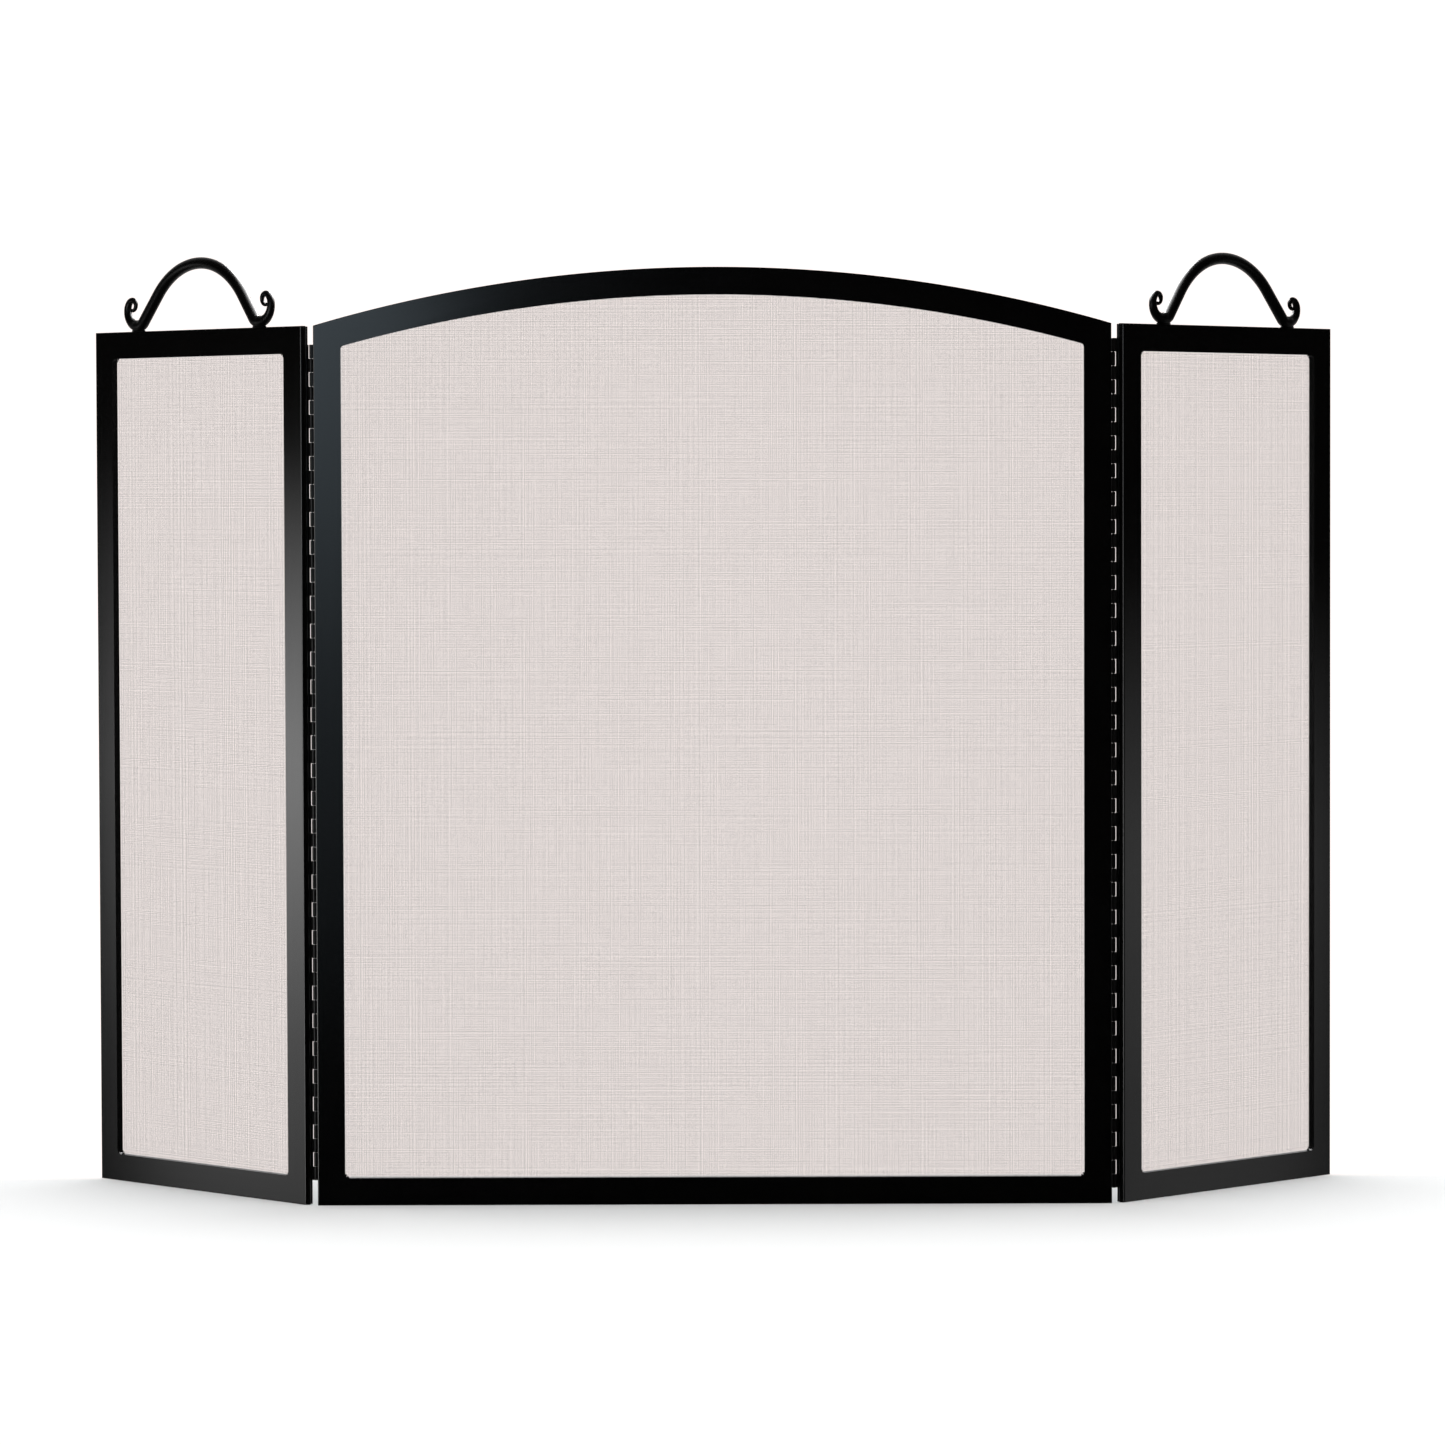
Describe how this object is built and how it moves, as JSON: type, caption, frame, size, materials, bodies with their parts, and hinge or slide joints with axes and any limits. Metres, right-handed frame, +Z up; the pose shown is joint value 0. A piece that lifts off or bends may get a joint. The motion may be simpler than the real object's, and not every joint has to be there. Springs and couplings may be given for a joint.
{
  "type": "fireplace screen",
  "caption": "Three-panel folding fireplace screen: arched centre, side wings on continuous hinges, fine woven mesh in flat-bar frames, a scrolled carrying handle on each wing.",
  "frame": {"origin": "on the floor, in the middle of the underside of the centre panel's bottom rail", "axes": "+X along the centre panel, to the right for someone in front of the screen; -Y out of the front; +Z up"},
  "size_m": [1.1666, 0.2317, 0.8688],
  "materials": {
    "frame_bar": "satin black powder coat",
    "handle": "satin black powder coat over forged round bar",
    "mesh_wire": "matt black painted woven wire",
    "clamp_strip": "satin black powder coat",
    "hinge_leaf": "satin black paint",
    "hinge_pin": "bright drawn wire",
    "screw": "black oxide"
  },
  "bodies": {
    "centre_panel": {"centre_left_stile": "frame_bar", "centre_right_stile": "frame_bar", "centre_top_rail": "frame_bar", "centre_bottom_rail": "frame_bar", "centre_mesh": "mesh_wire", "centre_bottom_strip": "clamp_strip", "centre_right_strip": "clamp_strip", "centre_top_strip": "clamp_strip", "centre_left_strip": "clamp_strip", "centre_strip_screws": "screw", "left_hinge_centre_leaf": "hinge_leaf", "left_hinge_pin": "hinge_pin", "left_hinge_centre_screws": "screw", "right_hinge_centre_leaf": "hinge_leaf", "right_hinge_pin": "hinge_pin", "right_hinge_centre_screws": "screw"},
    "left_panel": {"left_hinge_stile": "frame_bar", "left_outer_stile": "frame_bar", "left_top_rail": "frame_bar", "left_bottom_rail": "frame_bar", "left_mesh": "mesh_wire", "left_hinge_strip": "clamp_strip", "left_outer_strip": "clamp_strip", "left_top_strip": "clamp_strip", "left_bottom_strip": "clamp_strip", "left_strip_screws": "screw", "left_hinge_side_leaf": "hinge_leaf", "left_hinge_side_screws": "screw", "left_handle": "handle"},
    "right_panel": {"right_hinge_stile": "frame_bar", "right_outer_stile": "frame_bar", "right_top_rail": "frame_bar", "right_bottom_rail": "frame_bar", "right_mesh": "mesh_wire", "right_hinge_strip": "clamp_strip", "right_outer_strip": "clamp_strip", "right_top_strip": "clamp_strip", "right_bottom_strip": "clamp_strip", "right_strip_screws": "screw", "right_hinge_side_leaf": "hinge_leaf", "right_hinge_side_screws": "screw", "right_handle": "handle"}
  },
  "joints": [
    {"name": "left_fold", "type": "hinge", "parent": "centre_panel", "child": "left_panel", "pos_m": [-0.3642, 0.0073, 0.4], "axis": [0, 0, -1], "range_deg": [-56.5, 133.5]},
    {"name": "right_fold", "type": "hinge", "parent": "centre_panel", "child": "right_panel", "pos_m": [0.3642, 0.0073, 0.4], "axis": [0, 0, 1], "range_deg": [-56.5, 133.5]}
  ]
}
